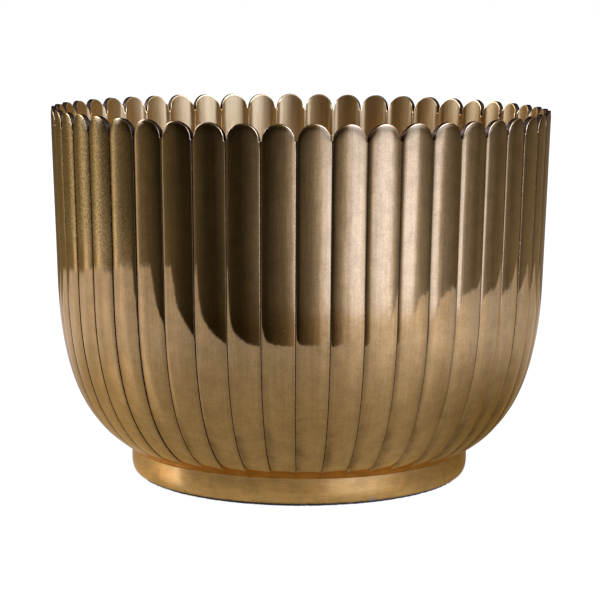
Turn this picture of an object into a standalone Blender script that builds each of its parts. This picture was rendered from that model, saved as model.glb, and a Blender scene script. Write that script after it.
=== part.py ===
"""Fluted brass planter bowl on a turned foot ring.

The bowl is one thick brass shell: upright petals side by side, each crowned outwards, parted by
sharp grooves and ending in a half-round scallop at the rim. A turned foot ring carries it, brazed to
it from underneath, and a felt ring keeps the metal off the table.

All sizes are in metres. The origin is on the table, in the middle of the foot.
"""

import math

import bmesh
import bpy

# Bowl, measured on the crowns of the petals
RIM_RADIUS = 0.1250
HEIGHT = 0.1850
WAIST_INSET = 0.0025
WAIST_HEIGHT = 0.1044
BELLY_FOOT_ANGLE = math.radians(30.6)
BELLY_FOOT_PULL = 0.0363
BELLY_WAIST_PULL = 0.0244
WALL = 0.0032
FLOOR_THICKNESS = 0.0032
FLOOR_FILLET = 0.0060

# Flutes and scallops
FLUTE_COUNT = 48
CROWN_RISE_RIM = 0.0013
CROWN_RISE_FOOT = 0.0006
GROOVE_CUT_RIM = 0.0008
GROOVE_CUT_FOOT = 0.0006
GROOVE_WIDTH = 0.0018
GROOVE_END_DISTANCE = 0.0030
NOTCH_WIDTH = 0.0012
PLAIN_BELOW_NOTCH = 0.0040
RIB_HEIGHT = 0.0011
RIB_WIDTH = 0.0050

# Foot ring, and the cove that leads into it from the ends of the petals
FOOT_RADIUS = 0.0853
FOOT_HEIGHT = 0.0134
FOOT_BULGE_HEIGHT = 0.0085
FOOT_TOP_INSET = 0.0004
FOOT_TREAD_INSET = 0.0030
FOOT_FULLNESS = 3.0
FOOT_WALL = 0.0060
COVE_HEIGHT = 0.0027
COVE_REACH = 0.0040
SPIGOT_DEPTH = 0.0035
SPIGOT_WALL = 0.0030

# Braze fillet, felt and the gap that the filler or glue takes up
BRAZE_LEG = 0.0022
BRAZE_THROAT = 0.0011
FELT_THICKNESS = 0.0008
FELT_INSET = 0.0003
JOINT_GAP = 0.0003

# Fineness of the meshes
BELLY_BANDS = 6
BELLY_CROWDING = 1.4
COVE_BANDS = 3
FOOT_UPPER_BANDS = 2
FOOT_LOWER_BANDS = 5
PLAIN_POINTS_PER_FLUTE = 2
SMOOTH_ANGLE = math.radians(35.0)

# Worked out from the sizes above
PITCH_ANGLE = 2.0 * math.pi / FLUTE_COUNT
PITCH_WIDTH = PITCH_ANGLE * RIM_RADIUS
SCALLOP_RADIUS = (PITCH_WIDTH - NOTCH_WIDTH) / 2.0
WAIST_RADIUS = RIM_RADIUS - WAIST_INSET
FRONT_ANGLE = -math.pi / 2.0
FOOT_TOP_RADIUS = FOOT_RADIUS - FOOT_TOP_INSET
FOOT_TREAD_RADIUS = FOOT_RADIUS - FOOT_TREAD_INSET
FOOT_BORE_RADIUS = FOOT_RADIUS - FOOT_WALL
FOOT_BASE_HEIGHT = FELT_THICKNESS + JOINT_GAP
SEAT_HEIGHT = FOOT_HEIGHT + JOINT_GAP
FLOOR_HEIGHT = SEAT_HEIGHT + FLOOR_THICKNESS
SPIGOT_RADIUS = FOOT_BORE_RADIUS - JOINT_GAP
SPIGOT_BOTTOM = SEAT_HEIGHT - SPIGOT_DEPTH
BELLY_FOOT = (FOOT_TOP_RADIUS + COVE_REACH, SEAT_HEIGHT + COVE_HEIGHT)
GROOVE_END_SHARE = GROOVE_END_DISTANCE / (3.0 * BELLY_FOOT_PULL)


def clear_scene():
    """Start from an empty scene."""
    for old in list(bpy.data.objects):
        bpy.data.objects.remove(old, do_unlink=True)


def metal(name, colour, roughness, metallic):
    """A plain surface of one colour."""
    material = bpy.data.materials.new(name)
    material.use_nodes = True
    shader = material.node_tree.nodes["Principled BSDF"]
    shader.inputs["Base Color"].default_value = (*colour, 1.0)
    shader.inputs["Roughness"].default_value = roughness
    shader.inputs["Metallic"].default_value = metallic
    material.diffuse_color = (*colour, 1.0)
    return material


def polar(radius, angle, height):
    """The point at a radius and an angle round the bowl's axis."""
    return (radius * math.cos(angle), radius * math.sin(angle), height)


def mix(low, high, share):
    """The value a share of the way from low to high."""
    return low + (high - low) * share


def curve_point(points, share):
    """A point on the Bezier curve that the given (radius, height) points steer."""
    while len(points) > 1:
        points = [
            (mix(a[0], b[0], share), mix(a[1], b[1], share))
            for a, b in zip(points, points[1:])
        ]
    return points[0]


def wall_radius(height):
    """Radius of the petal crowns on the straight, slightly flared upper wall."""
    return mix(WAIST_RADIUS, RIM_RADIUS, (height - WAIST_HEIGHT) / (HEIGHT - WAIST_HEIGHT))


def belly_curve(thickness):
    """Steering points of the belly, from the foot up to the waist, a wall thickness inside it."""
    flare = math.atan2(WAIST_INSET, HEIGHT - WAIST_HEIGHT)
    foot = (
        BELLY_FOOT[0] - thickness * math.sin(BELLY_FOOT_ANGLE),
        BELLY_FOOT[1] + thickness * math.cos(BELLY_FOOT_ANGLE),
    )
    waist = (WAIST_RADIUS - thickness, WAIST_HEIGHT)
    foot_pull = (
        foot[0] + BELLY_FOOT_PULL * math.cos(BELLY_FOOT_ANGLE),
        foot[1] + BELLY_FOOT_PULL * math.sin(BELLY_FOOT_ANGLE),
    )
    waist_pull = (
        waist[0] - BELLY_WAIST_PULL * math.sin(flare),
        waist[1] - BELLY_WAIST_PULL * math.cos(flare),
    )
    return [foot, foot_pull, waist_pull, waist]


def belly_shares():
    """Where the rows lie along the belly curve: closer together where it bends most."""
    shares = [(band / BELLY_BANDS) ** BELLY_CROWDING for band in range(BELLY_BANDS + 1)]
    return [mix(GROOVE_END_SHARE, 1.0, share) for share in shares]


def column_phases():
    """Where the points lie across one flute: 0 is its groove, 0.5 its crown, 1 the next groove."""
    flank = GROOVE_WIDTH / 2.0 / PITCH_WIDTH
    flank_turn = math.asin(min(1.0, (0.5 - flank) * PITCH_WIDTH / SCALLOP_RADIUS))
    shoulder = 0.5 - SCALLOP_RADIUS * math.sin(flank_turn / 2.0) / PITCH_WIDTH
    return [0.0, flank, shoulder, 0.5, 1.0 - shoulder, 1.0 - flank]


def scallop_drop(phase):
    """How far the rim lies below the tops of the petals: a half circle, with a narrow notch."""
    across = min(abs(phase - 0.5) * PITCH_WIDTH, SCALLOP_RADIUS)
    return SCALLOP_RADIUS - math.sqrt(SCALLOP_RADIUS**2 - across**2)


def outer_dip(phase, height):
    """How far the outer face lies inside the petal crowns: a crowned petal and a cut groove."""
    share = (height - BELLY_FOOT[1]) / (HEIGHT - BELLY_FOOT[1])
    rise = mix(CROWN_RISE_FOOT, CROWN_RISE_RIM, share)
    cut = mix(GROOVE_CUT_FOOT, GROOVE_CUT_RIM, share) if phase == 0.0 else 0.0
    return rise * abs(2.0 * phase - 1.0) ** 2 + cut


def inner_dip(phase, height):
    """How far the inner face lies inside the hollow of its petal: a soft rib behind the groove."""
    share = (height - BELLY_FOOT[1]) / (HEIGHT - BELLY_FOOT[1])
    rise = mix(CROWN_RISE_FOOT, CROWN_RISE_RIM, share)
    from_groove = min(phase, 1.0 - phase) * PITCH_WIDTH
    rib = 0.0
    if from_groove < RIB_WIDTH / 2.0:
        rib = RIB_HEIGHT * share * (1.0 + math.cos(2.0 * math.pi * from_groove / RIB_WIDTH)) / 2.0
    return rise * abs(2.0 * phase - 1.0) ** 2 + rib


def plain_ring(mesh, radius, height):
    """A round ring of points, in step with the grooves and the crowns."""
    count = PLAIN_POINTS_PER_FLUTE * FLUTE_COUNT
    return [
        mesh.verts.new(polar(radius, FRONT_ANGLE + index * 2.0 * math.pi / count, height))
        for index in range(count)
    ]


def fluted_ring(mesh, radius, height, dip):
    """A ring of points round the flutes, at one height."""
    return [
        mesh.verts.new(polar(radius - dip(phase, height), FRONT_ANGLE + turn * PITCH_ANGLE, height))
        for phase, turn in flute_turns()
    ]


def rim_ring(mesh, thickness, dip):
    """The scalloped ring of points along the rim."""
    ring = []
    for phase, turn in flute_turns():
        height = HEIGHT - scallop_drop(phase)
        radius = wall_radius(height) - thickness - dip(phase, height)
        ring.append(mesh.verts.new(polar(radius, FRONT_ANGLE + turn * PITCH_ANGLE, height)))
    return ring


def flute_turns():
    """The columns of points round the bowl: phase in the flute, and turn counted in flutes."""
    return [(phase, flute + phase) for flute in range(FLUTE_COUNT) for phase in column_phases()]


def bridge(mesh, first, second):
    """Join two rings that run the same way round by a band of faces.

    Where one ring has more points, each face of the sparser one spreads over its share of them.
    """
    step_first = max(1, len(first) // len(second))
    step_second = max(1, len(second) // len(first))
    spans = min(len(first), len(second))
    for span in range(spans):
        one = [first[(span * step_first + k) % len(first)] for k in range(step_first + 1)]
        two = [second[(span * step_second + k) % len(second)] for k in range(step_second + 1)]
        if len(one) == len(two):
            mesh.faces.new((one[0], two[0], two[1], one[1]))
        elif len(one) > len(two):
            mesh.faces.new((one[0], two[0], one[1]))
            mesh.faces.new((one[1], two[0], two[1], one[2]))
            mesh.faces.new((one[2], two[1], one[3]))
        else:
            mesh.faces.new((one[0], two[0], two[1]))
            mesh.faces.new((one[0], two[1], two[2], one[1]))
            mesh.faces.new((one[1], two[2], two[3]))


def inner_rings(mesh):
    """The rings of the inner face, from the floor up to the rim."""
    curve = belly_curve(WALL)
    shares = belly_shares()
    edge = curve_point(curve, shares[0])
    rings = [plain_ring(mesh, edge[0] - FLOOR_FILLET, FLOOR_HEIGHT), plain_ring(mesh, *edge)]
    for share in shares[1:]:
        rings.append(fluted_ring(mesh, *curve_point(curve, share), inner_dip))
    below_notch = HEIGHT - SCALLOP_RADIUS - PLAIN_BELOW_NOTCH
    rings.append(fluted_ring(mesh, wall_radius(below_notch) - WALL, below_notch, inner_dip))
    rings.append(rim_ring(mesh, WALL, inner_dip))
    return rings


def outer_rings(mesh):
    """The rings of the outer face, from the rim down to the middle of the underside."""
    below_notch = HEIGHT - SCALLOP_RADIUS - PLAIN_BELOW_NOTCH
    rings = [
        rim_ring(mesh, 0.0, outer_dip),
        fluted_ring(mesh, wall_radius(below_notch), below_notch, outer_dip),
    ]
    curve = belly_curve(0.0)
    shares = belly_shares()
    for share in reversed(shares[1:]):
        rings.append(fluted_ring(mesh, *curve_point(curve, share), outer_dip))
    rings.append(plain_ring(mesh, *curve_point(curve, shares[0])))
    rings += [plain_ring(mesh, *point) for point in cove_points()]
    rings += [
        plain_ring(mesh, SPIGOT_RADIUS, SEAT_HEIGHT),
        plain_ring(mesh, SPIGOT_RADIUS, SPIGOT_BOTTOM),
        plain_ring(mesh, SPIGOT_RADIUS - SPIGOT_WALL, SPIGOT_BOTTOM),
        plain_ring(mesh, SPIGOT_RADIUS - SPIGOT_WALL, SEAT_HEIGHT),
    ]
    return rings


def cove_points():
    """The hollow curve from the ends of the petals down to the seat on the foot ring."""
    corner_height = BELLY_FOOT[1] - COVE_REACH * math.tan(BELLY_FOOT_ANGLE)
    steering = [BELLY_FOOT, (FOOT_TOP_RADIUS, corner_height), (FOOT_TOP_RADIUS, SEAT_HEIGHT)]
    return [curve_point(steering, band / COVE_BANDS) for band in range(COVE_BANDS + 1)]


def make_bowl(material):
    """The fluted and scalloped shell, with its floor and the spigot that centres the foot ring."""
    mesh = bmesh.new()
    inner = inner_rings(mesh)
    outer = outer_rings(mesh)
    mesh.faces.new(inner[0])
    mesh.faces.new(reversed(outer[-1]))
    rings = inner + outer
    for first, second in zip(rings, rings[1:]):
        bridge(mesh, first, second)
    return finish_piece("fluted_bowl", mesh, material)


def make_turned(name, profile, material):
    """A ring turned from a closed profile of (radius, height) points."""
    mesh = bmesh.new()
    points = [mesh.verts.new(polar(radius, FRONT_ANGLE, height)) for radius, height in profile]
    edges = [mesh.edges.new((a, b)) for a, b in zip(points, points[1:] + points[:1])]
    bmesh.ops.spin(
        mesh,
        geom=points + edges,
        cent=(0.0, 0.0, 0.0),
        axis=(0.0, 0.0, 1.0),
        angle=2.0 * math.pi,
        steps=PLAIN_POINTS_PER_FLUTE * FLUTE_COUNT,
        use_merge=True,
    )
    return finish_piece(name, mesh, material)


def make_foot_ring(material):
    """The turned foot: a full round face over a narrow tread, bored to take the spigot."""
    profile = []
    for band in range(FOOT_UPPER_BANDS):
        share = 1.0 - band / FOOT_UPPER_BANDS
        height = mix(FOOT_BULGE_HEIGHT, FOOT_HEIGHT, share)
        profile.append((FOOT_RADIUS - FOOT_TOP_INSET * share**2, height))
    for band in range(FOOT_LOWER_BANDS + 1):
        turn = band / FOOT_LOWER_BANDS * math.pi / 2.0
        out = math.cos(turn) ** (2.0 / FOOT_FULLNESS) if band < FOOT_LOWER_BANDS else 0.0
        down = math.sin(turn) ** (2.0 / FOOT_FULLNESS)
        profile.append((
            FOOT_TREAD_RADIUS + FOOT_TREAD_INSET * out,
            mix(FOOT_BULGE_HEIGHT, FOOT_BASE_HEIGHT, down),
        ))
    profile.append((FOOT_BORE_RADIUS, FOOT_BASE_HEIGHT))
    profile.append((FOOT_BORE_RADIUS, FOOT_HEIGHT))
    return make_turned("foot_ring", profile, material)


def make_braze_fillet(material):
    """The run of filler metal in the corner under the spigot, with a hollow face."""
    wall = FOOT_BORE_RADIUS - JOINT_GAP
    top = SPIGOT_BOTTOM - JOINT_GAP
    throat = BRAZE_THROAT * math.sin(math.pi / 4.0)
    profile = [
        (wall, top),
        (wall, top - BRAZE_LEG),
        (wall - throat, top - throat),
        (wall - BRAZE_LEG, top),
    ]
    return make_turned("braze_fillet", profile, material)


def make_felt_ring(material):
    """The felt ring glued under the tread of the foot, which stands on the table."""
    outer = FOOT_TREAD_RADIUS - FELT_INSET
    inner = FOOT_BORE_RADIUS + FELT_INSET
    profile = [(outer, FELT_THICKNESS), (outer, 0.0), (inner, 0.0), (inner, FELT_THICKNESS)]
    return make_turned("felt_ring", profile, material)


def finish_piece(name, mesh, material):
    """Turn a closed mesh into a named object, shaded smooth apart from its edges."""
    bmesh.ops.recalc_face_normals(mesh, faces=mesh.faces)
    data = bpy.data.meshes.new(name)
    mesh.to_mesh(data)
    mesh.free()
    data.materials.append(material)
    data.shade_smooth()
    data.set_sharp_from_angle(angle=SMOOTH_ANGLE)
    piece = bpy.data.objects.new(name, data)
    bpy.context.scene.collection.objects.link(piece)
    return piece


def main():
    """Build the planter."""
    clear_scene()
    brass = metal("antique_brass", (0.42, 0.27, 0.10), 0.30, 1.0)
    filler = metal("braze_filler", (0.55, 0.40, 0.20), 0.50, 1.0)
    felt = metal("dark_felt", (0.020, 0.016, 0.012), 0.95, 0.0)
    make_bowl(brass)
    make_foot_ring(brass)
    make_braze_fillet(filler)
    make_felt_ring(felt)


main()
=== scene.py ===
import math

import bpy
import numpy as np
from mathutils import Matrix, Vector


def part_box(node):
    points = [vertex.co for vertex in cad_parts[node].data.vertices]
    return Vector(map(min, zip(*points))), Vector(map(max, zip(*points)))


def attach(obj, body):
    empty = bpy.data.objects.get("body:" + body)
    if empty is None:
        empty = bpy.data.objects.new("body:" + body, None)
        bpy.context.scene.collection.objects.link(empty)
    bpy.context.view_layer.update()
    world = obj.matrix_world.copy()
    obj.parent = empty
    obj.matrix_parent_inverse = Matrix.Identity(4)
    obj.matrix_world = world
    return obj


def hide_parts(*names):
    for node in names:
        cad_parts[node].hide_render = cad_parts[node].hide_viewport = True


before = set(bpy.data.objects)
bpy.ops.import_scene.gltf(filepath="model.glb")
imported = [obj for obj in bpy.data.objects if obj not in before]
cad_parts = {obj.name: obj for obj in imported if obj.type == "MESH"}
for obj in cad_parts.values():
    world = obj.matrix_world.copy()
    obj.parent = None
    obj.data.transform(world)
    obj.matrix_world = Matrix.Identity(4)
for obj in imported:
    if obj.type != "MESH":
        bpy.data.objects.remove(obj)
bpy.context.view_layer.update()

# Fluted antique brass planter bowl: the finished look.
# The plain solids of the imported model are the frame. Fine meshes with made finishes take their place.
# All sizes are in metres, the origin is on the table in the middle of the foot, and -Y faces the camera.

# Bowl, measured on the crowns of the petals, with the curves of the solids. RIM_EASE keeps the crowns
# inside the box of the solids.
FLUTES = 48
PITCH = 2.0 * math.pi / FLUTES
RIM_EASE = 0.00006
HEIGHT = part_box("fluted_bowl")[1][2]
RIM_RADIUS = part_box("fluted_bowl")[1][0] / math.cos(PITCH / 2.0) - RIM_EASE
WAIST_INSET = 0.0025
WAIST_RADIUS = RIM_RADIUS - WAIST_INSET
WAIST_HEIGHT = 0.1044
BELLY_FOOT_ANGLE = math.radians(30.6)
BELLY_FOOT_PULL = 0.0363
BELLY_WAIST_PULL = 0.0244
WALL = 0.0032
FLOOR_HEIGHT = 0.0169
FLOOR_FILLET = 0.0060

# Flutes, scallops and ribs
RIM_PITCH = PITCH * RIM_RADIUS
HALF_PITCH = RIM_PITCH / 2.0
NOTCH_RADIUS = 0.0006
SCALLOP_RADIUS = HALF_PITCH - NOTCH_RADIUS
CROWN_RISE_RIM = 0.00105
CROWN_RISE_FOOT = 0.0005
GROOVE_DEPTH = 0.00045
GROOVE_REACH = 0.00030
GROOVE_FOOT_SHARE = 0.75
GROOVE_FADE = 0.0075
DIP_AT_COVE = 0.10
RIB_HEIGHT = 0.0011
RIB_REACH = 0.0026

# Round-over of the petals: beside the grooves low down, beside them high up, and towards the scallops.
# Beside a groove, the right side of a petal has only a share of what its left side has. LIP_ZONE is where
# the second takes over from the first, as shares of the way up the wall.
SHOULDER_DEPTH = 0.0003
SHOULDER_REACH = 0.0030
LIP_DEPTH = 0.00034
LIP_REACH = 0.0022
LIP_ZONE = (0.35, 0.75)
RIGHT_SHARE = 0.2
PILLOW_DEPTH = 0.00032
PILLOW_REACH = 0.0042
PILLOW_START = 0.004

# Rounding of the wall's edge, and how far the rows next to it are drawn in
EDGE_ROUND_OUT = 0.00026
EDGE_ROUND_IN = 0.0004
ROW_INSET_OUT = EDGE_ROUND_OUT * 1.6
ROW_INSET_IN = EDGE_ROUND_IN * 2.0

# Foot, cove and what lies under them
FOOT_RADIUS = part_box("foot_ring")[1][0]
FOOT_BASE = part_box("foot_ring")[0][2]
SEAT_HEIGHT = 0.0137
SEAT_DIP = 0.0002
FOOT_TOP_LEAN = 0.0001
FOOT_TOP_INSET = 0.0004
SEAT_RADIUS = FOOT_RADIUS - FOOT_TOP_LEAN
FOOT_TOP_RADIUS = FOOT_RADIUS - FOOT_TOP_INSET
FOOT_BULGE_HEIGHT = 0.0085
FOOT_TREAD_INSET = 0.0030
FOOT_FULLNESS = 0.85
FOOT_WALL = 0.0060
BORE_RADIUS = FOOT_RADIUS - FOOT_WALL
BORE_CHAMFER_TOP = 0.0004
BORE_CHAMFER_FOOT = 0.0005
COVE_REACH = 0.0040
COVE_HEIGHT = 0.0027
COVE_HOLLOW = 0.00012
SPIGOT_RADIUS = 0.0790
SPIGOT_BOTTOM = 0.0102
SPIGOT_WALL = 0.0030
JOINT_GAP = 0.0003
BRAZE_LEG = 0.0022
RIPPLE_FINE = 0.00010
RIPPLE_SLOW = 0.00012
FELT_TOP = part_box("felt_ring")[1][2]
FELT_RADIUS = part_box("felt_ring")[1][0]
FELT_INSET = 0.0002
FELT_RAGGED = 0.00060
FELT_LIFT = 0.00016
BELLY_FOOT = (FOOT_TOP_RADIUS + COVE_REACH, SEAT_HEIGHT + COVE_HEIGHT)

# Fineness of the meshes
BELLY_ROWS = 34
BELLY_CROWDING = 1.35
CAP_RADIUS = 0.0020
STRAIGHT_BELOW = 0.0050
SHARP_ANGLE = math.radians(38.0)
TURNED_STEPS = 384
FELT_STEPS = 768

RNG = np.random.default_rng(48)


# Small helpers for shapes

def mix(low, high, share):
    return low + (high - low) * share


def closeness(distance, reach):
    """1 on a line, falling to 0 at reach from it, steepest on the line."""
    return np.clip(1.0 - distance / reach, 0.0, 1.0) ** 2


def smooth(low, high, value):
    """0 below low, 1 above high, and a soft step between. It falls where high is the lower of the two."""
    share = np.clip((value - low) / (high - low), 0.0, 1.0)
    return share * share * (3.0 - 2.0 * share)


def bezier(points, share):
    """Points of the Bezier curve that the given (radius, height) points steer."""
    share = np.asarray(share)[:, None]
    points = [np.asarray(point, dtype=float)[None, :] for point in points]
    while len(points) > 1:
        points = [mix(a, b, share) for a, b in zip(points, points[1:])]
    return points[0]


def normals_of(profile):
    """Unit normals of a (radius, height) profile that runs upwards, pointing away from the axis."""
    run = np.gradient(profile, axis=0)
    run /= np.linalg.norm(run, axis=1)[:, None]
    return np.stack([run[:, 1], -run[:, 0]], axis=1)


def skin(name, rings, marks, close=False, looks=None):
    """A closed skin over rings of points, which all have the same count.

    marks holds one list of values per ring for each named mark, which the finishes read. looks gives the
    place of the finish of the band that ends at each ring. The ends are closed by a fan, or the last ring
    joins the first where close is set.
    """
    count = len(rings[0])
    verts = np.concatenate(rings)
    columns = np.arange(count)
    following = (columns + 1) % count
    faces = []
    spans = len(rings) if close else len(rings) - 1
    for span in range(spans):
        low = span * count
        high = (span + 1) % len(rings) * count
        faces.append(np.stack([low + columns, low + following, high + following, high + columns], axis=1))
    faces = [tuple(face) for face in np.concatenate(faces).tolist()]
    values = {mark: np.concatenate(rows) for mark, rows in marks.items()}
    if not close:
        middle = [rings[0].mean(axis=0), rings[-1].mean(axis=0)]
        first, last = len(verts), len(verts) + 1
        verts = np.concatenate([verts, middle])
        faces += [(first, following[c], c) for c in columns]
        start = (len(rings) - 1) * count
        faces += [(last, start + c, start + following[c]) for c in columns]
        for mark, row in values.items():
            values[mark] = np.append(row, [row[0], row[-1]])
    mesh = bpy.data.meshes.new(name)
    mesh.from_pydata(verts.tolist(), [], [tuple(int(i) for i in face) for face in faces])
    mesh.update()
    for mark, row in values.items():
        mesh.attributes.new(mark, "FLOAT", "POINT").data.foreach_set("value", row.astype(np.float32))
    if looks:
        bands = np.repeat(looks[1:], count)
        fans = np.repeat([looks[0], looks[-1]], count)
        mesh.polygons.foreach_set("material_index", np.concatenate([bands, fans]).astype(np.int32))
    mesh.shade_smooth()
    mesh.set_sharp_from_angle(angle=SHARP_ANGLE)
    piece = bpy.data.objects.new(name, mesh)
    bpy.context.scene.collection.objects.link(piece)
    return piece


# The bowl, and the places of its three finishes

OUTER = 0
EDGE = 1
INNER = 2

# How far round the edge, from each face, the dark cut edge begins
EDGE_TURN = math.radians(40.0)

# Turns of the points along a scallop, and along half of the notch beside it
PETAL_TURNS = np.radians([-90, -80, -70, -60, -50, -38, -26, -13, 0, 13, 26, 38, 50, 60, 70, 80, 90])
NOTCH_TURNS = np.radians([20.0, 45.0])


def flute_columns(inset):
    """Distance across from the middle of the petal, and height above the scallop's centre, of the
    points along one scallop and half a notch to either side, drawn in by inset."""
    arc = SCALLOP_RADIUS - inset
    notch = NOTCH_RADIUS + inset
    back = NOTCH_TURNS[::-1]
    across = np.concatenate([
        [-HALF_PITCH],
        -HALF_PITCH + notch * np.sin(NOTCH_TURNS),
        arc * np.sin(PETAL_TURNS),
        HALF_PITCH - notch * np.sin(back),
    ])
    rise = np.concatenate([
        [-notch],
        -notch * np.cos(NOTCH_TURNS),
        arc * np.cos(PETAL_TURNS),
        -notch * np.cos(back),
    ])
    return across, rise


COLUMNS = len(PETAL_TURNS) + 2 * len(NOTCH_TURNS) + 1

# Small differences between the petals: lean, crown, depth, height, and the start of their waves
PETAL_TILT = RNG.normal(0.0, 0.0016, FLUTES)
PETAL_BULGE = RNG.uniform(-0.12, 0.10, FLUTES)
PETAL_SINK = RNG.uniform(0.0, 0.00015, FLUTES)
PETAL_DROP = RNG.uniform(0.0, 0.00018, FLUTES)
WAVE_TURN = RNG.uniform(0.0, 2.0 * math.pi, (FLUTES, 4))
WAVE_SHORT = 0.00003
WAVE_SHORT_RUN = 0.011
WAVE_SHORT_WIDTH = 0.004
WAVE_LONG = 0.00004
WAVE_LONG_RUN = 0.027

# Petals in the middle of the front are pressed flatter, and those to their right deeper
PRESSED_MORE = {
    46: -0.15, 47: -0.22, 0: -0.22, 2: -0.08, 3: 0.08, 4: 0.20, 5: 0.28, 6: 0.30, 7: 0.30, 8: 0.25,
}
for petal, amount in PRESSED_MORE.items():
    PETAL_BULGE[petal] += amount

# The rim leans down a little to one side
RIM_LEAN = 0.0009
RIM_LEAN_TURN = math.radians(-30.0)


def wall_radius(height):
    """Radius of the petal crowns on the flared wall above the waist."""
    return mix(WAIST_RADIUS, RIM_RADIUS, (height - WAIST_HEIGHT) / (HEIGHT - WAIST_HEIGHT))


def angle_of(across):
    """Angle round the axis of every column, for one flute's distances across."""
    petals = (np.arange(FLUTES) + 0.5)[:, None] * PITCH
    return -math.pi / 2.0 + (petals + across[None, :] / RIM_RADIUS).ravel()


def rim_drop(angle):
    """How far the tops of the petals lie below the full height."""
    lean = RIM_LEAN * (1.0 + np.cos(angle - RIM_LEAN_TURN)) / 2.0
    return np.repeat(PETAL_DROP, COLUMNS) + lean


def up_the_wall(height):
    """0 at the foot of the belly and 1 at the rim."""
    return np.clip((height - BELLY_FOOT[1]) / (HEIGHT - BELLY_FOOT[1]), 0.0, 1.0)


def outer_dip(across, height):
    """How far the outer face lies inside the petal crowns."""
    share = up_the_wall(height)
    flat = np.tile(across, FLUTES)
    from_groove = HALF_PITCH - np.abs(flat)
    inner = 1.0 - (flat / HALF_PITCH) ** 2
    rise = mix(CROWN_RISE_FOOT, CROWN_RISE_RIM, share) * (1.0 + np.repeat(PETAL_BULGE, COLUMNS))
    crown = rise * (flat / HALF_PITCH) ** 2
    groove = GROOVE_DEPTH * mix(GROOVE_FOOT_SHARE, 1.0, share) * closeness(from_groove, GROOVE_REACH)

    shoulder = SHOULDER_DEPTH * smooth(*LIP_ZONE[::-1], share) * closeness(from_groove, SHOULDER_REACH)
    shoulder += LIP_DEPTH * smooth(*LIP_ZONE, share) * closeness(from_groove, LIP_REACH)
    shoulder *= np.where(flat < 0.0, 1.0, RIGHT_SHARE)
    over = height - HEIGHT + rim_drop(angle_of(across)) + SCALLOP_RADIUS
    from_edge = SCALLOP_RADIUS - np.hypot(flat, np.maximum(over, 0.0))
    shoulder += PILLOW_DEPTH * smooth(0.0, PILLOW_START, over) * closeness(from_edge, PILLOW_REACH)

    tilt = np.maximum(np.repeat(PETAL_TILT, COLUMNS) * flat * inner, 0.0)
    start = np.repeat(WAVE_TURN, COLUMNS, axis=0)
    wave = WAVE_SHORT * np.sin(height / WAVE_SHORT_RUN + start[:, 0])
    wave *= np.sin(flat / WAVE_SHORT_WIDTH + start[:, 1])
    wave += WAVE_LONG * np.sin(height / WAVE_LONG_RUN + start[:, 2])
    wave = (wave + WAVE_SHORT + WAVE_LONG) * inner
    return crown + shoulder + groove + np.repeat(PETAL_SINK, COLUMNS) + tilt + wave


def inner_dip(across, height):
    """How far the inner face lies inside the hollow of its petal: a soft rib behind each groove."""
    share = up_the_wall(height)
    flat = np.tile(across, FLUTES)
    near = np.clip((HALF_PITCH - np.abs(flat)) / RIB_REACH, 0.0, 1.0)
    rib = RIB_HEIGHT * share * (1.0 + np.cos(math.pi * near)) / 2.0
    return mix(CROWN_RISE_FOOT, CROWN_RISE_RIM, share) * (flat / HALF_PITCH) ** 2 + rib


def ring(radius, angle, height):
    """Points round the axis."""
    height = np.broadcast_to(height, radius.shape)
    return np.stack([radius * np.cos(angle), radius * np.sin(angle), height], axis=1)


def belly(thickness):
    """Bezier points from the foot of the belly to the waist, for a face that lies thickness inside the
    outer one."""
    sine = math.sin(BELLY_FOOT_ANGLE)
    cosine = math.cos(BELLY_FOOT_ANGLE)
    flare = math.atan2(RIM_RADIUS - WAIST_RADIUS, HEIGHT - WAIST_HEIGHT)
    foot = (BELLY_FOOT[0] - thickness * sine, BELLY_FOOT[1] + thickness * cosine)
    waist = (WAIST_RADIUS - thickness, WAIST_HEIGHT)
    return [
        foot,
        (foot[0] + BELLY_FOOT_PULL * cosine, foot[1] + BELLY_FOOT_PULL * sine),
        (waist[0] - BELLY_WAIST_PULL * math.sin(flare), waist[1] - BELLY_WAIST_PULL * math.cos(flare)),
        waist,
    ]


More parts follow.
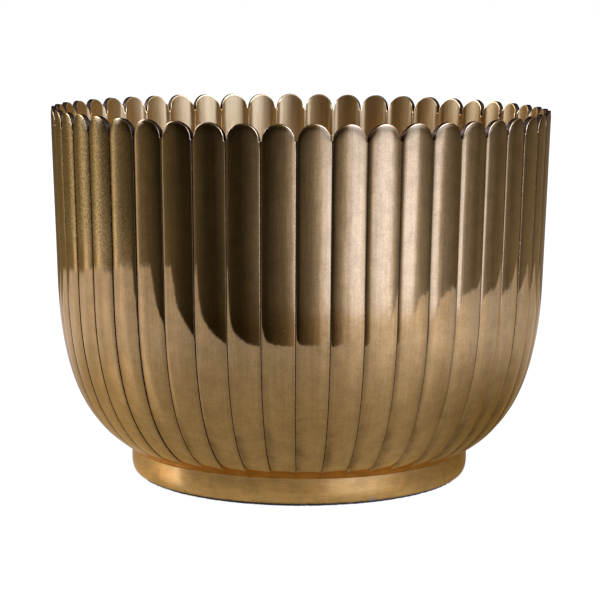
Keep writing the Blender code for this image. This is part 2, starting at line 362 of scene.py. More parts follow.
def make_bowl():
    """The fluted and scalloped shell: underside, cove, wall, edge, inner face and floor."""
    rings = []
    marks = {"from_groove": [], "across": [], "cove": []}
    looks = []
    plain, _ = flute_columns(0.0)
    plain_angle = angle_of(plain)
    below = HEIGHT - SCALLOP_RADIUS - STRAIGHT_BELOW

    def add(radius, angle, height, look=OUTER, cove=0.0):
        """A ring of points, with the marks that the finishes read."""
        rings.append(ring(np.broadcast_to(radius, angle.shape), angle, height))
        looks.append(look)
        marks["from_groove"].append(np.tile(HALF_PITCH - np.abs(plain), FLUTES))
        marks["across"].append(np.tile(plain, FLUTES))
        marks["cove"].append(np.broadcast_to(cove, angle.shape))

    def scalloped(across, rise):
        """Angle and height of the points along the rim."""
        angle = angle_of(across)
        return angle, HEIGHT - rim_drop(angle) - SCALLOP_RADIUS + np.tile(rise, FLUTES)

    def edge_ring(inset, depth, look):
        """A ring along the scalloped rim, drawn in by inset and set depth behind the outer face."""
        across, rise = flute_columns(inset)
        angle, height = scalloped(across, rise)
        dip = mix(outer_dip(across, height), inner_dip(across, height) + WALL, depth / WALL)
        add(wall_radius(height) - dip, angle, height, look)

    def wall_ring(share, inset, inner):
        """A ring a share of the way from the rim's edge down to the straight rows."""
        across, rise = flute_columns(inset)
        across = mix(across, plain, share)
        angle, height = scalloped(across, rise)
        height = mix(height, below, share)
        dip = inner_dip(across, height) + WALL if inner else outer_dip(across, height)
        add(wall_radius(height) - dip, angle, height, INNER if inner else OUTER)

    # Underside, from the middle out to the spigot and the seat on the foot
    for radius, height in (
        (CAP_RADIUS, SEAT_HEIGHT),
        (SPIGOT_RADIUS - SPIGOT_WALL, SEAT_HEIGHT),
        (SPIGOT_RADIUS - SPIGOT_WALL, SPIGOT_BOTTOM),
        (SPIGOT_RADIUS, SPIGOT_BOTTOM),
        (SPIGOT_RADIUS, SEAT_HEIGHT),
        (FOOT_TOP_RADIUS - FOOT_TOP_LEAN, SEAT_HEIGHT),
    ):
        add(radius, plain_angle, height, cove=1.0)

    # Cove, which the lower ends of the petals run into
    corner = BELLY_FOOT[1] - COVE_REACH * math.tan(BELLY_FOOT_ANGLE)
    cove = bezier([(SEAT_RADIUS, SEAT_HEIGHT), (SEAT_RADIUS, corner), BELLY_FOOT], np.linspace(0.0, 1.0, 9))
    petal_middle = np.tile(1.0 - (plain / HALF_PITCH) ** 2, FLUTES)
    for step, (radius, height) in enumerate(cove[:-1]):
        share = step / (len(cove) - 1)
        deeper = COVE_HOLLOW * math.sin(math.pi * share) * petal_middle
        add(radius - deeper, plain_angle, height + deeper * 0.6, cove=1.0)

    # Belly and wall
    shares = np.linspace(0.0, 1.0, BELLY_ROWS) ** BELLY_CROWDING
    profile = bezier(belly(0.0), shares)
    for share, point, normal in zip(shares, profile, normals_of(profile)):
        fade = float(smooth(0.0, GROOVE_FADE, share * 3.0 * BELLY_FOOT_PULL))
        dip = outer_dip(plain, point[1]) * mix(DIP_AT_COVE, 1.0, fade)
        add(point[0] - dip * normal[0], plain_angle, point[1] - dip * normal[1], cove=1.0 - fade)
    for height in np.linspace(WAIST_HEIGHT, below, 9)[1:]:
        add(wall_radius(height) - outer_dip(plain, height), plain_angle, height)
    for share in (0.8, 0.6, 0.4, 0.27, 0.17, 0.10, 0.05, 0.0):
        wall_ring(share, ROW_INSET_OUT, False)

    # Edge of the wall, rounded over to both faces
    for turn in np.linspace(0.0, math.pi / 2.0, 6):
        inset = EDGE_ROUND_OUT * (1.0 - math.sin(turn))
        depth = EDGE_ROUND_OUT * (1.0 - math.cos(turn))
        edge_ring(inset, depth, EDGE if turn > EDGE_TURN else OUTER)
    edge_ring(0.0, WALL / 2.0, EDGE)
    for turn in np.linspace(math.pi / 2.0, 0.0, 4):
        inset = EDGE_ROUND_IN * (1.0 - math.sin(turn))
        depth = WALL - EDGE_ROUND_IN * (1.0 - math.cos(turn))
        edge_ring(inset, depth, EDGE if turn > EDGE_TURN else INNER)

    # Inner face
    for share in (0.0, 0.3, 0.65):
        wall_ring(share, ROW_INSET_IN, True)
    for height in np.linspace(below, WAIST_HEIGHT, 4)[:-1]:
        add(wall_radius(height) - WALL - inner_dip(plain, height), plain_angle, height, INNER)
    profile = bezier(belly(WALL), np.linspace(1.0, 0.0, 13))
    for point, normal in zip(profile, np.abs(normals_of(profile))):
        dip = inner_dip(plain, point[1]) * float(smooth(0.0, 0.02, point[1] - FLOOR_HEIGHT))
        add(point[0] - dip * normal[0], plain_angle, point[1] + dip * normal[1] * 0.5, INNER)

    # Fillet and floor
    edge_radius, edge_height = profile[-1]
    for turn in np.linspace(0.3, 1.0, 4):
        height = FLOOR_HEIGHT + (edge_height - FLOOR_HEIGHT) * (1.0 - turn) ** 1.8
        add(edge_radius - FLOOR_FILLET * turn, plain_angle, height, INNER)
    add(CAP_RADIUS, plain_angle, FLOOR_HEIGHT, INNER)
    return skin("fluted_bowl_shell", rings, marks, looks=looks)


# Turned pieces

def turned(name, profile, steps, wobble=None):
    """A ring turned from a closed profile of (radius, height) points, which runs anticlockwise seen with
    the axis on the left. wobble gives each point's shift from its place in the profile and its angle."""
    angle = -math.pi / 2.0 + np.arange(steps) * 2.0 * math.pi / steps
    rings = []
    for index, (radius, height) in enumerate(profile):
        out, up = wobble(index, angle) if wobble else (0.0, 0.0)
        rings.append(ring(np.full(steps, radius) + out, angle, np.full(steps, height) + up))
    return skin(name, rings, {}, close=True)


def make_foot():
    """The turned foot: a full round face over a narrow tread, with its seat closed against the bowl."""
    profile = []
    for share in np.linspace(0.0, 1.0, 13)[1:]:
        turn = share * math.pi / 2.0
        profile.append((
            FOOT_RADIUS - FOOT_TREAD_INSET + FOOT_TREAD_INSET * math.sin(turn) ** FOOT_FULLNESS,
            mix(FOOT_BULGE_HEIGHT, FOOT_BASE, math.cos(turn) ** FOOT_FULLNESS),
        ))
    for share in (0.25, 0.5, 0.75, 1.0):
        height = mix(FOOT_BULGE_HEIGHT, SEAT_HEIGHT, share)
        profile.append((FOOT_RADIUS - FOOT_TOP_LEAN * share ** 3, height))
    profile += [
        (BORE_RADIUS + BORE_CHAMFER_TOP, SEAT_HEIGHT - SEAT_DIP),
        (BORE_RADIUS, SEAT_HEIGHT - SEAT_DIP - BORE_CHAMFER_TOP),
        (BORE_RADIUS, FOOT_BASE + BORE_CHAMFER_FOOT),
        (BORE_RADIUS + BORE_CHAMFER_FOOT, FOOT_BASE),
    ]
    return turned("foot_ring_turned", profile, TURNED_STEPS)


def make_braze():
    """The run of filler metal in the corner under the spigot, with the ripples of a hand-fed rod."""
    wall = BORE_RADIUS - JOINT_GAP
    top = SPIGOT_BOTTOM - JOINT_GAP
    phases = RNG.uniform(0.0, 2.0 * math.pi, 3)
    profile = []
    for turn in np.linspace(math.pi / 2.0, 0.0, 7):
        profile.append((wall - BRAZE_LEG * (1.0 - math.cos(turn)), top - BRAZE_LEG * (1.0 - math.sin(turn))))
    profile.append((wall, top))

    def wobble(index, angle):
        free = 0.0 if index == len(profile) - 1 else 1.0
        ripple = RIPPLE_FINE * np.sin(angle * 150 + phases[0]) + RIPPLE_SLOW * np.sin(angle * 23 + phases[1])
        return -np.abs(ripple) * free, np.zeros_like(angle)

    return turned("braze_run", profile, TURNED_STEPS, wobble)


def make_felt():
    """The felt ring under the tread, with a slightly ragged cut edge."""
    inner = BORE_RADIUS + JOINT_GAP
    outer = FELT_RADIUS - FELT_INSET
    profile = [
        (inner, 0.0),
        (outer, 0.0),
        (outer + 0.0001, FELT_TOP * 0.35),
        (outer, FELT_TOP * 0.75),
        (outer - 0.0002, FELT_TOP),
        (inner, FELT_TOP),
    ]
    ragged = RNG.normal(0.0, 1.0, (len(profile), FELT_STEPS))
    ragged = (ragged + np.roll(ragged, 1, axis=1) + np.roll(ragged, -1, axis=1)) / 3.0

    def wobble(index, angle):
        amount = FELT_RAGGED if 1 <= index <= 3 else 0.0
        lift = FELT_LIFT if 2 <= index <= 3 else 0.0
        return -np.abs(ragged[index]) * amount, ragged[index] * lift

    return turned("felt_ring_cut", profile, FELT_STEPS, wobble)


# Building blocks for the finishes

class Tree:
    """Short calls for building a node tree."""

    def __init__(self, tree):
        self.tree = tree

    def node(self, kind, **links):
        """A node of the given kind, with its inputs fed by name."""
        made = self.tree.nodes.new(kind)
        for name, value in links.items():
            self.feed(made.inputs[name], value)
        return made

    def feed(self, socket, value):
        """Link an output to a socket, or set the socket to a plain value."""
        if isinstance(value, bpy.types.NodeSocket):
            self.tree.links.new(value, socket)
        else:
            socket.default_value = value

    def math(self, operation, *values):
        made = self.tree.nodes.new("ShaderNodeMath")
        made.operation = operation
        for index, value in enumerate(values):
            self.feed(made.inputs[index], value)
        return made.outputs[0]

    def plus(self, first, second):
        return self.math("ADD", first, second)

    def minus(self, first, second):
        return self.math("SUBTRACT", first, second)

    def times(self, first, second):
        return self.math("MULTIPLY", first, second)

    def over(self, first, second):
        return self.math("DIVIDE", first, second)

    def away(self, parts):
        """Distance from the axis of the point with the given parts."""
        return self.math("SQRT", self.plus(self.times(parts[0], parts[0]), self.times(parts[1], parts[1])))

    def turn(self, parts):
        """Turn round the axis of the point with the given parts: 0 at the front, more to the right."""
        return self.math("ARCTAN2", parts[0], self.times(parts[1], -1.0))

    def vector(self, x, y, z):
        made = self.tree.nodes.new("ShaderNodeCombineXYZ")
        for index, value in enumerate((x, y, z)):
            self.feed(made.inputs[index], value)
        return made.outputs[0]

    def ramp(self, value, low, high, to_low=0.0, to_high=1.0, kind="SMOOTHSTEP"):
        """A value that runs from to_low to to_high while the given one runs from low to high."""
        made = self.tree.nodes.new("ShaderNodeMapRange")
        made.interpolation_type = kind
        for index, item in enumerate((value, low, high, to_low, to_high)):
            self.feed(made.inputs[index], item)
        return made.outputs[0]

    def blend(self, share, first, second, how="MIX"):
        """Mix two colours, or two plain values."""
        made = self.tree.nodes.new("ShaderNodeMix")
        colour = any(getattr(item, "type", "RGBA") == "RGBA" for item in (first, second))
        made.data_type = "RGBA" if colour else "FLOAT"
        places = (0, 6, 7) if colour else (0, 2, 3)
        if colour:
            made.blend_type = how
        for place, item in zip(places, (share, first, second)):
            self.feed(made.inputs[place], item)
        return made.outputs[2 if colour else 0]

    def noise(self, vector, scale, detail, roughness, distortion=0.0):
        made = self.node(
            "ShaderNodeTexNoise",
            Vector=vector, Scale=scale, Detail=detail, Roughness=roughness, Distortion=distortion,
        )
        return made.outputs["Fac"]

    def mark(self, name):
        """A mark that the mesh carries on its points."""
        made = self.tree.nodes.new("ShaderNodeAttribute")
        made.attribute_name = name
        return made.outputs["Fac"]


def group(name, inputs, outputs, build):
    """A shader node group with sockets of the given names: a vector for Place, and numbers for the rest."""
    made = bpy.data.node_groups.new(name, "ShaderNodeTree")
    for way, titles in (("INPUT", inputs), ("OUTPUT", outputs)):
        for title in titles:
            kind = "NodeSocketVector" if title == "Place" else "NodeSocketFloat"
            made.interface.new_socket(title, in_out=way, socket_type=kind)
    tree = Tree(made)
    entry = made.nodes.new("NodeGroupInput")
    leave = made.nodes.new("NodeGroupOutput")
    results = build(tree, entry.outputs)
    for title, value in results.items():
        tree.feed(leave.inputs[title], value)
    return made


def use(tree, made, **values):
    """Place a node group in a tree and feed its sockets."""
    node = tree.tree.nodes.new("ShaderNodeGroup")
    node.node_tree = made
    for name, value in values.items():
        tree.feed(node.inputs[name], value)
    return node.outputs


def place_build(tree, _):
    """Where a point lies round the axis: the seam is at the back, behind a groove."""
    where = tree.node("ShaderNodeTexCoord").outputs["Object"]
    parts = tree.node("ShaderNodeSeparateXYZ", Vector=where).outputs
    arc = tree.times(tree.turn(parts), RIM_RADIUS)
    return {"Arc": arc, "Radius": tree.away(parts), "Height": parts[2], "Place": where}


def grain_build(tree, sockets):
    """Brush lines: fine noise drawn out along one way, in two widths."""
    along = tree.over(sockets["Along"], sockets["Length"])
    beside = tree.over(sockets["Beside"], sockets["Length"])
    across = tree.over(sockets["Across"], sockets["Width"])
    fine = tree.noise(tree.vector(across, along, beside), 1.0, 3.0, 0.6)
    wide = tree.vector(tree.times(across, 0.22), tree.times(along, 0.5), beside)
    broad = tree.noise(wide, 1.0, 2.0, 0.5)
    return {"Line": tree.plus(tree.times(fine, 0.6), tree.times(broad, 0.4))}


def mottle_build(tree, sockets):
    """Cloudy tarnish in two sizes, and small specks in it."""
    cloud = tree.noise(sockets["Place"], tree.over(1.0, sockets["Size"]), 4.0, 0.6)
    speck = tree.noise(sockets["Place"], tree.over(7.0, sockets["Size"]), 3.0, 0.65)
    return {
        "Cloud": tree.ramp(cloud, 0.38, 0.66),
        "Speck": tree.ramp(speck, 0.50, 0.66),
    }


def pit_build(tree, sockets):
    """Scattered small pits and hits, as a mask that is 1 in a pit."""
    scale = tree.over(1.0, sockets["Spacing"])
    cells = tree.node("ShaderNodeTexVoronoi", Vector=sockets["Place"], Scale=scale).outputs
    chance = tree.node("ShaderNodeSeparateColor", Color=cells["Color"]).outputs[0]
    rare = tree.math("GREATER_THAN", chance, sockets["Rarity"])
    near = tree.ramp(cells["Distance"], tree.over(sockets["Radius"], sockets["Spacing"]), 0.0)
    return {"Pit": tree.times(rare, near)}


ROUND = group("place round the axis", [], ["Arc", "Radius", "Height", "Place"], place_build)
GRAIN = group("brush lines", ["Across", "Along", "Beside", "Width", "Length"], ["Line"], grain_build)
MOTTLE = group("cloudy tarnish", ["Place", "Size"], ["Cloud", "Speck"], mottle_build)
PITS = group("small pits", ["Place", "Spacing", "Rarity", "Radius"], ["Pit"], pit_build)


def cloudy(tree, at, size):
    return use(tree, MOTTLE, Place=at["Place"], Size=size)


def upright_lines(tree, at, width, length):
    """Brush lines that run up and down."""
    return use(
        tree, GRAIN, Across=at["Arc"], Along=at["Height"], Beside=at["Radius"], Width=width, Length=length,
    )["Line"]


def lying_lines(tree, at, across, width, length):
    """Brush lines that run round the axis."""
    return use(tree, GRAIN, Across=across, Along=at["Arc"], Beside=0.0, Width=width, Length=length)["Line"]


def scattered(tree, at, spacing, rarity, radius):
    return use(tree, PITS, Place=at["Place"], Spacing=spacing, Rarity=rarity, Radius=radius)["Pit"]


def bump(tree, shader, height, strength, distance):
    """Let a finish rise and fall with height."""
    made = tree.node("ShaderNodeBump", Strength=strength, Distance=distance, Height=height)
    tree.feed(shader["Normal"], made.outputs["Normal"])


def new_material(name):
    """A material, its node tree, and the inputs of its shader."""
    made = bpy.data.materials.new(name)
    made.use_nodes = True
    made.node_tree.nodes.clear()
    tree = Tree(made.node_tree)
    shader = tree.node("ShaderNodeBsdfPrincipled")
    output = tree.node("ShaderNodeOutputMaterial")
    made.node_tree.links.new(shader.outputs["BSDF"], output.inputs["Surface"])
    return made, tree, shader.inputs


# Colours of the metal and of what the antiquing left on it
BRASS_LIGHT = (0.57, 0.365, 0.166, 1.0)
BRASS = (0.45, 0.282, 0.122, 1.0)
BRASS_DARK = (0.20, 0.125, 0.055, 1.0)
PATINA = (0.024, 0.0135, 0.007, 1.0)
# A paler tone painted into the cove and underside as painted reflection
COVE_REFLECTION_TONE = (0.50, 0.360, 0.195, 1.0)
OLIVE = (0.47, 0.335, 0.140, 1.0)
EDGE_GREY = (0.14, 0.100, 0.070, 1.0)
EDGE_DARK = (0.040, 0.028, 0.020, 1.0)
EDGE_GRAZING = (0.12, 0.10, 0.08, 1.0)
INNER_BRASS = (0.50, 0.330, 0.130, 1.0)
INNER_BRASS_LIGHT = (0.60, 0.412, 0.180, 1.0)
FOOT_BRASS = (0.69, 0.420, 0.163, 1.0)
FOOT_BRASS_LIGHT = (0.80, 0.497, 0.204, 1.0)
GRAZING_TINT = (1.0, 0.80, 0.55, 1.0)
FILLER_BRIGHT = (0.50, 0.36, 0.19, 1.0)
FILLER_DULL = (0.16, 0.11, 0.07, 1.0)
FELT_DARK = (0.010, 0.008, 0.007, 1.0)
FELT_LIGHT = (0.050, 0.040, 0.033, 1.0)

# A grey nick low on the foot, to the right of the front
NICK_GREY = (0.30, 0.29, 0.30, 1.0)
NICK_ARC = 0.0556
NICK_HEIGHT = 0.0024
NICK_SIZE = (0.0030, 0.0007)

# Zones of the outer face, each from where it begins to where it is full. Arcs run from the front to the
# right along the rim, and the others are heights or distances from the groove.
LOW_BELLY = (0.085, 0.035)
LINE_WIDENS = (0.090, 0.035)
LEE_HEIGHT = (0.062, 0.030)
LEE_REACH = (0.0070, 0.0006)
WORN_FRONT = (-0.062, -0.118)
WORN_BACK = (-0.330, -0.240)
WORN_HEIGHT = (0.112, 0.134)
GROOVE_LINE = (0.00036, 0.00016)
GROOVE_SHADE = (0.0030, 0.0005)

# Painted shade along the lower edge of the foot, from the height where it begins to where it is full
FOOT_SHADE_ZONE = (0.0022, 0.0010)


def bowl_brass():
    """The outer face: upright brushed and antiqued brass under thin lacquer."""
    made, tree, shader = new_material("bowl antique brass")
    at = use(tree, ROUND)
    groove = tree.mark("from_groove")
    cove = tree.mark("cove")

    # Brush lines, upright on the wall and lying on the belly
    slant = tree.plus(at["Height"], tree.times(at["Radius"], -0.8))
    upright = upright_lines(tree, at, width=0.00045, length=0.022)
    lying = lying_lines(tree, at, slant, width=0.00040, length=0.009)
    line = tree.blend(tree.times(tree.ramp(at["Height"], *LOW_BELLY), 0.65), upright, lying)

    # Tarnish, pits, dull spots, grit, a slow swell, and the worn patch at the left
    tarnish = cloudy(tree, at, size=0.007)
    pits = scattered(tree, at, spacing=0.0065, rarity=0.62, radius=0.00028)
    dull_spots = scattered(tree, at, spacing=0.0047, rarity=0.70, radius=0.00030)
    grit = tree.noise(at["Place"], 1000.0, 4.0, 0.75)
    wide = tree.vector(tree.times(at["Arc"], 190.0), tree.times(at["Height"], 60.0), at["Radius"])
    swell = tree.noise(wide, 1.0, 2.0, 0.5)
    worn = tree.times(tree.ramp(at["Arc"], *WORN_FRONT), tree.ramp(at["Height"], *WORN_HEIGHT))
    worn = tree.times(worn, tree.ramp(at["Arc"], *WORN_BACK))

    # Dark line in each groove, and painted shade beside it, more of it to its right low down
    narrow = tree.plus(tree.times(tarnish["Speck"], 0.00010), tree.times(cove, 0.0007))
    narrow = tree.plus(narrow, tree.ramp(at["Height"], *LINE_WIDENS, 0.0, 0.00004))
    dark_line = tree.ramp(tree.plus(groove, narrow), *GROOVE_LINE)
    clean = tree.minus(1.0, dark_line)
    shade = tree.times(tree.ramp(groove, *GROOVE_SHADE), 0.30)
    # Painted shade on the left edge of each petal, low on the belly
    from_left = tree.plus(tree.mark("across"), HALF_PITCH)
    lee_shade = tree.times(tree.ramp(from_left, *LEE_REACH), tree.ramp(at["Height"], *LEE_HEIGHT))
    lee_shade = tree.times(lee_shade, tree.ramp(tarnish["Cloud"], 0.0, 1.0, 0.55, 0.85))
    shade = tree.math("MAXIMUM", shade, tree.times(lee_shade, tree.minus(1.0, cove)))

    colour = tree.blend(tree.ramp(line, 0.30, 0.70), BRASS, BRASS_LIGHT)
    colour = tree.blend(tree.times(tarnish["Cloud"], 0.22), colour, BRASS_DARK)
    colour = tree.blend(shade, colour, BRASS_DARK)
    colour = tree.blend(tree.times(worn, 0.6), colour, OLIVE)
    uneven = tree.plus(0.12, tree.times(worn, 0.36))
    uneven = tree.times(uneven, tree.ramp(grit, 0.34, 0.66, -1.0, 1.0, "LINEAR"))
    colour = tree.blend(1.0, colour, tree.plus(1.0, uneven), "MULTIPLY")
    # Painted reflection: the cove and the underside take a paler tone, set against the orange of the brass
    # mirrored there
    colour = tree.blend(tree.times(tree.ramp(cove, 0.55, 1.0), 0.6), colour, COVE_REFLECTION_TONE)
    colour = tree.blend(dark_line, colour, PATINA)
    colour = tree.blend(tree.times(pits, 0.7), colour, PATINA)
    tree.feed(shader["Base Color"], colour)
    tree.feed(shader["Metallic"], clean)

    rough = tree.plus(0.045, tree.times(tree.ramp(line, 0.3, 0.7), 0.02))
    rough = tree.plus(rough, tree.times(tarnish["Cloud"], 0.015))
    rough = tree.plus(rough, tree.times(dark_line, 0.4))
    tree.feed(shader["Roughness"], tree.plus(rough, tree.times(dull_spots, 0.4)))

    height = tree.times(line, 0.8)
    height = tree.plus(height, tree.times(grit, tree.plus(0.10, tree.times(worn, 5.0))))
    height = tree.plus(height, tree.times(swell, 3.5))
    height = tree.minus(height, tree.times(pits, 1.5))
    bump(tree, shader, height, strength=0.5, distance=0.00003)
    shader["Anisotropic"].default_value = 0.9
    shader["Specular IOR Level"].default_value = 0.0
    shader["Specular Tint"].default_value = GRAZING_TINT
    tree.feed(shader["Coat Weight"], tree.times(0.04, clean))
    shader["Coat Roughness"].default_value = 0.08
    return made


def edge_brass():
    """The cut edge of the wall, dulled and darkened by the antiquing."""
    made, tree, shader = new_material("dark cut edge")
    at = use(tree, ROUND)
    tarnish = cloudy(tree, at, size=0.004)
    tree.feed(shader["Base Color"], tree.blend(tarnish["Speck"], EDGE_DARK, EDGE_GREY))
    shader["Metallic"].default_value = 1.0
    shader["Roughness"].default_value = 0.42
    shader["Specular Tint"].default_value = EDGE_GRAZING
    bump(tree, shader, tarnish["Speck"], strength=0.5, distance=0.00006)
    return made


def inner_brass():
    """The inner face: plain satin brass, a little cloudy."""
    made, tree, shader = new_material("inner satin brass")
    at = use(tree, ROUND)
    tarnish = cloudy(tree, at, size=0.014)
    line = upright_lines(tree, at, width=0.00060, length=0.016)
    colour = tree.blend(tree.ramp(line, 0.35, 0.65), INNER_BRASS, INNER_BRASS_LIGHT)
    colour = tree.blend(tree.times(tarnish["Cloud"], 0.15), colour, BRASS_DARK)
    tree.feed(shader["Base Color"], colour)
    shader["Metallic"].default_value = 1.0
    tree.feed(shader["Roughness"], tree.ramp(tarnish["Cloud"], 0.0, 1.0, 0.28, 0.32))
    bump(tree, shader, line, strength=0.4, distance=0.00002)
    shader["Specular Tint"].default_value = GRAZING_TINT
    return made


def foot_brass():
    """The same brass, turned: fine lines that run round the foot, and painted shade along its lower edge."""
    made, tree, shader = new_material("foot turned brass")
    at = use(tree, ROUND)
    rise = tree.plus(at["Height"], at["Radius"])
    line = lying_lines(tree, at, rise, width=0.00035, length=0.012)
    tarnish = cloudy(tree, at, size=0.008)
    pits = scattered(tree, at, spacing=0.007, rarity=0.7, radius=0.00025)
    colour = tree.blend(tree.ramp(line, 0.35, 0.65), FOOT_BRASS, FOOT_BRASS_LIGHT)
    colour = tree.blend(tree.times(tarnish["Cloud"], 0.25), colour, BRASS_DARK)
    # Painted shade: the lower edge of the foot darkens towards the bottom, in the patina colour
    ragged = tree.plus(at["Height"], tree.times(tarnish["Speck"], -0.0006))
    colour = tree.blend(tree.times(tree.ramp(ragged, *FOOT_SHADE_ZONE), 0.9), colour, PATINA)
    colour = tree.blend(tree.times(pits, 0.7), colour, PATINA)
    beside_nick = tree.over(tree.minus(at["Arc"], NICK_ARC), NICK_SIZE[0])
    over_nick = tree.over(tree.minus(at["Height"], NICK_HEIGHT), NICK_SIZE[1])
    from_nick = tree.plus(tree.times(beside_nick, beside_nick), tree.times(over_nick, over_nick))
    nick = tree.ramp(from_nick, 1.0, 0.5)
    tree.feed(shader["Base Color"], tree.blend(nick, colour, NICK_GREY))
    shader["Metallic"].default_value = 1.0
    rough = tree.plus(0.13, tree.times(tree.ramp(line, 0.3, 0.7), 0.05))
    tree.feed(shader["Roughness"], tree.plus(rough, tree.times(nick, 0.3)))
    height = tree.minus(line, tree.times(pits, 3.0))
    bump(tree, shader, height, strength=0.35, distance=0.00002)
    shader["Anisotropic"].default_value = 0.6
    shader["Anisotropic Rotation"].default_value = 0.25
    shader["Specular Tint"].default_value = GRAZING_TINT
    shader["Coat Weight"].default_value = 0.08
    shader["Coat Roughness"].default_value = 0.12
    return made


def filler_metal():
    """Brazing filler as it ran, dulled by flux."""
    made, tree, shader = new_material("braze filler")
    at = use(tree, ROUND)
    tarnish = cloudy(tree, at, size=0.004)
    colour = tree.blend(tree.times(tarnish["Cloud"], 0.7), FILLER_BRIGHT, FILLER_DULL)
    tree.feed(shader["Base Color"], colour)
    shader["Metallic"].default_value = 1.0
    tree.feed(shader["Roughness"], tree.ramp(tarnish["Speck"], 0.0, 1.0, 0.42, 0.62))
    bump(tree, shader, tarnish["Speck"], strength=0.4, distance=0.00004)
    return made


def dark_felt():
    """Dark wool felt with tangled fibres."""
    made, tree, shader = new_material("dark wool felt")
    at = use(tree, ROUND)
    fibre = tree.noise(at["Place"], 5200.0, 4.0, 0.7, 1.2)
    tuft = tree.noise(at["Place"], 900.0, 2.0, 0.5)
    both = tree.plus(tree.times(fibre, 0.7), tree.times(tuft, 0.3))
    tree.feed(shader["Base Color"], tree.blend(tree.ramp(both, 0.35, 0.65), FELT_DARK, FELT_LIGHT))
    shader["Roughness"].default_value = 0.95
    shader["Sheen Weight"].default_value = 0.3
    bump(tree, shader, both, strength=0.8, distance=0.00010)
    return made


# Studio: pale table and floor, soft light, and the darker room in front that the metal mirrors

# Half the width of the floor, the edges of the table, and how softly it ends
FLOOR_HALF = 12.0
TABLE_FRONT = -0.350
TABLE_RIGHT = 0.66
TABLE_BACK = 0.48
TABLE_SOFT = 0.003

# How far the pale table reaches, by the turn from the front in half turns, and a distance
TABLE_REACH = (
    (-1.0, 0.80), (-0.75, 0.76), (-0.64, 0.745), (-0.53, 0.735), (-0.33, 0.735), (0.0, 0.70), (0.30, 0.63),
    (0.39, 0.645), (0.45, 0.66), (0.50, 0.68), (0.60, 0.74), (0.70, 0.80), (1.0, 0.80),
)

# The room below the level, beyond the table's edges, by the way one looks from the bowl:
# degrees to the right of the front, brightness, and how cool the light is there
ROOM_LOW = (
    (-180, 0.20, 0.0), (-134, 0.27, 0.0), (-127, 0.36, 0.0), (-121, 0.28, 0.05), (-116, 0.66, 0.1),
    (-111, 1.20, 0.15), (-106, 1.14, 0.20), (-100, 0.58, 0.23), (-94, 0.39, 0.20), (-88, 0.25, 0.15),
    (-80, 0.22, 0.0), (-70, 0.150, 0.0), (-60, 0.110, 0.0), (-52, 0.068, 0.0), (-43, 0.046, 0.0),
    (-27, 0.042, 0.0), (-17, 0.090, 0.1), (-7, 0.158, 0.2), (2, 0.24, 0.25), (9, 0.44, 0.4), (13, 0.63, 0.45),
    (15.5, 0.76, 0.5), (18, 1.12, 0.7), (26, 1.40, 0.95), (30, 1.74, 1.1), (49, 1.78, 0.95), (54, 1.16, 0.75),
    (57, 0.70, 0.5), (65, 0.38, 0.4), (77, 0.28, 0.3), (94, 0.19, 0.1), (130, 0.28, 0.2),
)

# The same above the level: two lamps, a lit backdrop, and the dark front where the camera stands
ROOM_HIGH = (
    (-180, 0.9, 0.3), (-134, 1.2, 0.3), (-116, 3.0, 0.2), (-108, 7.5, 0.2), (-98, 13.0, 0.7),
    (-90, 12.5, 1.3), (-84, 3.4, 0.6), (-77, 0.6, 0.0), (-66, 0.40, 0.0), (-49, 0.15, 0.0), (-23, 0.18, 0.0),
    (-8, 0.30, 0.0), (5, 0.5, 0.0), (14, 1.5, 0.2), (24, 6.0, 1.1), (38, 8.0, 1.4), (55, 6.8, 1.2),
    (64, 4.2, 0.7), (76, 2.2, 0.3), (88, 1.0, 0.2), (110, 0.7, 0.2), (140, 0.8, 0.3), (180, 0.9, 0.3),
)
ROOM_PEAK = 14.0

# Light by the sine of the angle above the level: how the low room fades, as a share and how warm it turns,
# and the gain of the high room
LOW_FADE = (
    (-1.0, 0.60, 1.0), (-0.27, 0.60, 1.0), (-0.24, 0.70, 0.8), (-0.205, 0.95, 0.2), (-0.19, 1.0, 0.0),
    (-0.16, 1.0, 0.0), (-0.11, 0.74, 0.0), (-0.03, 0.5, 0.0), (1.0, 0.5, 0.0),
)
HIGH_GAIN = (
    (-1.0, 0.10), (0.0, 0.10), (0.08, 0.16), (0.15, 0.38), (0.22, 1.0), (0.40, 1.1), (0.55, 0.8),
    (0.80, 0.4), (1.0, 0.3),
)
HIGH_GAIN_PEAK = 1.1

# Where the low room gives way to the high one, and that one to the even light from above
LEVEL_ZONE = (-0.03, 0.03)
TOP_ZONE = (0.55, 0.9)
TOP_LIGHT = 0.7

# Ends of the range from warm to cool light, and the shares of green and blue that the warmest fade loses
ROOM_WARM = (1.0, 0.93, 0.74)
ROOM_COOL = (1.0, 1.22, 2.05)
FADE_GREEN = 0.16
FADE_BLUE = 0.42

# Painted light of the glowing table beside the bowl, darker close to the bowl as painted shadow, listed as
# for the room
TABLE_PEAK = 1.6
TABLE_NEAR = (
    (-180, 0.40, 0.0), (-128, 0.44, 0.0), (-98, 0.56, 0.05), (-83, 0.62, 0.05), (-68, 0.60, 0.0),
    (-53, 0.52, 0.0), (-38, 0.47, 0.0), (7, 0.46, 0.0), (37, 0.55, 0.05), (60, 0.35, 0.0), (82, 0.30, -0.1),
    (97, 0.25, -0.25), (120, 0.29, -0.2), (180, 0.40, 0.0),
)

# The same further out, where the painted light is brighter
TABLE_FAR = (
    (-180, 0.66, 0.3), (-143, 0.80, 0.55), (-128, 0.90, 0.58), (-113, 0.96, 0.58), (-98, 0.72, 0.48),
    (-83, 0.65, 0.38), (-68, 0.73, 0.30), (-53, 0.74, 0.32), (-38, 0.57, 0.32), (-23, 0.53, 0.33),
    (-8, 0.56, 0.34), (7, 0.60, 0.34), (22, 0.72, 0.35), (37, 1.02, 0.38), (52, 1.10, 0.38), (67, 0.99, 0.38),
    (82, 0.86, 0.5), (97, 0.80, 0.6), (112, 0.78, 0.6), (127, 0.64, 0.5), (145, 0.66, 0.4), (180, 0.66, 0.3),
)

